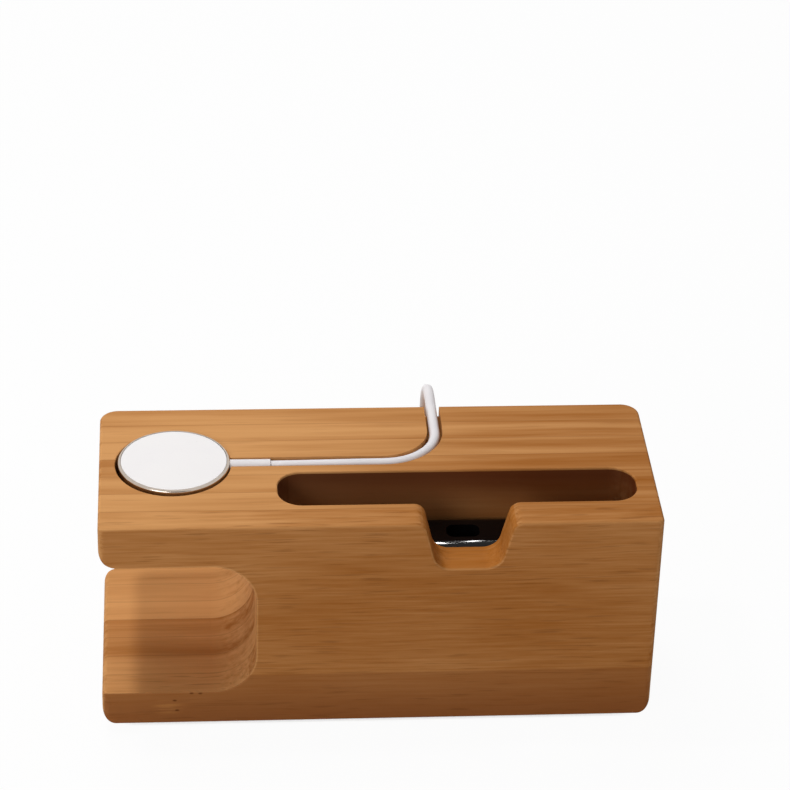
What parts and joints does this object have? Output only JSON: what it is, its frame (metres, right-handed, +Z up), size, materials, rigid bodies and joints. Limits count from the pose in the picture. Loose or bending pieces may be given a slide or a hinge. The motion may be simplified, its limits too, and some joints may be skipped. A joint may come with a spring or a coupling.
{
  "type": "charging station organizer",
  "caption": "Bamboo charging station with a telephone slot, thumb notch, open strap shelf, and a lift-out charging puck whose lead runs in a groove over the back edge.",
  "frame": {"origin": "on the table, under the middle of the bamboo body's outline", "axes": "+X along the body to the right as seen from the front, +Y to the back, +Z up"},
  "size_m": [0.14, 0.1217, 0.0624],
  "materials": {
    "bamboo": "oiled bamboo, satin",
    "insert_black": "moulded, glossy",
    "pad_rubber": "matte",
    "puck_metal": "polished rim",
    "puck_white": "smooth, satin",
    "board_green": "solder mask",
    "ferrite_grey": "sintered",
    "winding_copper": "enamelled wire",
    "magnet_nickel": "nickel plated",
    "lead_white": "soft, satin",
    "relief_white": "satin",
    "tie_white": "matte",
    "plug_white": "moulded",
    "plug_steel": "plated",
    "tongue_white": "moulded",
    "contact_gold": "gold plated"
  },
  "bodies": {
    "stand": {"bamboo_stave_1": "bamboo", "bamboo_stave_2": "bamboo", "bamboo_stave_3": "bamboo", "bamboo_stave_4": "bamboo", "bamboo_stave_5": "bamboo", "bamboo_stave_6": "bamboo", "bamboo_stave_7": "bamboo", "foot_pad_front_left": "pad_rubber", "foot_pad_front_right": "pad_rubber", "foot_pad_back_left": "pad_rubber", "foot_pad_back_right": "pad_rubber", "lead_groove_run": "lead_white", "lead_free_run": "lead_white", "lead_coil": "lead_white", "lead_tail": "lead_white", "coil_tie": "tie_white", "plug_boot": "relief_white", "plug_overmould": "plug_white", "plug_shell": "plug_steel", "plug_tongue": "tongue_white", "plug_contacts": "contact_gold"},
    "puck": {"puck_cup": "puck_metal", "puck_face": "puck_white", "puck_board": "board_green", "puck_ferrite": "ferrite_grey", "puck_coil": "winding_copper", "puck_magnet": "magnet_nickel", "strain_relief": "relief_white"},
    "insert": {"connector_insert": "insert_black"}
  },
  "joints": [
    {"name": "puck_lift", "type": "slide", "parent": "stand", "child": "puck", "axis": [0, 0, 1], "range_m": [0, 0.012]},
    {"name": "insert_lift", "type": "slide", "parent": "stand", "child": "insert", "axis": [0, 0, 1], "range_m": [0, 0.03]}
  ]
}
